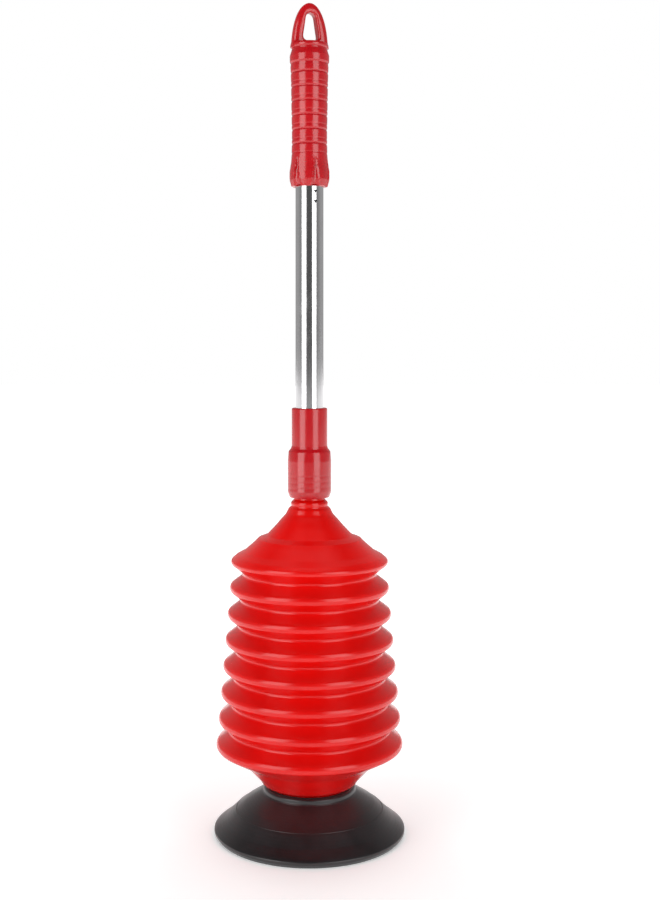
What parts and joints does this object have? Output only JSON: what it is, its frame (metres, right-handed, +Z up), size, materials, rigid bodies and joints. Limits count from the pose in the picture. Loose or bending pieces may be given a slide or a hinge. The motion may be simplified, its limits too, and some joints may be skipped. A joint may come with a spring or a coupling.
{
  "type": "toilet plunger",
  "caption": "Toilet plunger with a pump bellows: a steel tube handle with a hanging grip screws onto a ribbed bellows that stands in a flared rubber cup.",
  "frame": {"origin": "centre of the cup's lip on the floor, on the plunger's own axis", "axes": "+Z up along the handle; -Y is the front; the hanging loop's face turns 19 degrees from -Y towards +X"},
  "size_m": [0.1494, 0.1494, 0.6524],
  "materials": {
    "grip_red": "glossy injection-moulded red",
    "coupling_red": "glossy injection-moulded red",
    "bellows_red": "satin blow-moulded red",
    "tube_steel": "polished stainless steel",
    "cup_rubber": "satin black moulded rubber",
    "seal_rubber": "soft black washer",
    "plug_plastic": "natural matte plastic"
  },
  "bodies": {
    "cup_base": {"cup_skirt": "cup_rubber"},
    "cup_shoulder": {"cup_dome": "cup_rubber"},
    "foot": {"cup_collar": "cup_rubber", "bellows_foot": "bellows_red", "bellows_web_7": "bellows_red"},
    "ridge_7": {"bellows_ridge_7": "bellows_red", "bellows_web_6": "bellows_red"},
    "ridge_6": {"bellows_ridge_6": "bellows_red", "bellows_web_5": "bellows_red"},
    "ridge_5": {"bellows_ridge_5": "bellows_red", "bellows_web_4": "bellows_red"},
    "ridge_4": {"bellows_ridge_4": "bellows_red", "bellows_web_3": "bellows_red"},
    "ridge_3": {"bellows_ridge_3": "bellows_red", "bellows_web_2": "bellows_red"},
    "ridge_2": {"bellows_ridge_2": "bellows_red", "bellows_web_1": "bellows_red"},
    "bellows_top": {"bellows_shoulder": "bellows_red"},
    "seal": {"neck_seal": "seal_rubber"},
    "handle": {"coupling": "coupling_red", "tube": "tube_steel", "grip_plug": "plug_plastic", "grip": "grip_red"}
  },
  "joints": [
    {"name": "tilt_fore_aft", "type": "hinge", "parent": "cup_base", "child": "cup_shoulder", "pos_m": [0, 0, 0.022], "axis": [1, 0, 0], "range_deg": [-10, 10], "stiffness_Nm_per_rad": 12},
    {"name": "tilt_sideways", "type": "hinge", "parent": "cup_shoulder", "child": "foot", "pos_m": [0, 0, 0.022], "axis": [0, 1, 0], "range_deg": [-10, 10], "stiffness_Nm_per_rad": 12, "deforming": ["cup_dome"]},
    {"name": "fold_7", "type": "slide", "parent": "foot", "child": "ridge_7", "axis": [0, 0, 1], "range_m": [-0.0105, 0.0036], "stiffness_N_per_m": 4900, "springref_m": 0.0006, "deforming": ["bellows_web_7"]},
    {"name": "fold_6", "type": "slide", "parent": "ridge_7", "child": "ridge_6", "axis": [0, 0, 1], "range_m": [-0.0105, 0.0036], "stiffness_N_per_m": 4900, "springref_m": 0.0006, "deforming": ["bellows_web_6"]},
    {"name": "fold_5", "type": "slide", "parent": "ridge_6", "child": "ridge_5", "axis": [0, 0, 1], "range_m": [-0.0105, 0.0036], "stiffness_N_per_m": 4900, "springref_m": 0.0006, "deforming": ["bellows_web_5"]},
    {"name": "fold_4", "type": "slide", "parent": "ridge_5", "child": "ridge_4", "axis": [0, 0, 1], "range_m": [-0.0105, 0.0036], "stiffness_N_per_m": 4900, "springref_m": 0.0006, "deforming": ["bellows_web_4"]},
    {"name": "fold_3", "type": "slide", "parent": "ridge_4", "child": "ridge_3", "axis": [0, 0, 1], "range_m": [-0.0105, 0.0036], "stiffness_N_per_m": 4900, "springref_m": 0.0006, "deforming": ["bellows_web_3"]},
    {"name": "fold_2", "type": "slide", "parent": "ridge_3", "child": "ridge_2", "axis": [0, 0, 1], "range_m": [-0.0105, 0.0036], "stiffness_N_per_m": 4900, "springref_m": 0.0006, "deforming": ["bellows_web_2"]},
    {"name": "fold_1", "type": "slide", "parent": "ridge_2", "child": "bellows_top", "axis": [0, 0, 1], "range_m": [-0.0105, 0.0036], "stiffness_N_per_m": 4900, "springref_m": 0.0006, "deforming": ["bellows_web_1"]},
    {"name": "thread_lift", "type": "slide", "parent": "bellows_top", "child": "seal", "axis": [0, 0, 1], "range_m": [0, 0.0115]},
    {"name": "thread_turn", "type": "hinge", "parent": "seal", "child": "handle", "pos_m": [0, 0, 0.28], "axis": [0, 0, 1], "range_deg": [0, 900]}
  ],
  "couplings": [
    {"joint": "fold_6", "follows": "fold_7", "ratio": 1},
    {"joint": "fold_5", "follows": "fold_7", "ratio": 1},
    {"joint": "fold_4", "follows": "fold_7", "ratio": 1},
    {"joint": "fold_3", "follows": "fold_7", "ratio": 1},
    {"joint": "fold_2", "follows": "fold_7", "ratio": 1},
    {"joint": "fold_1", "follows": "fold_7", "ratio": 1},
    {"joint": "thread_lift", "follows": "thread_turn", "m_per_rad": 0.0007162}
  ]
}
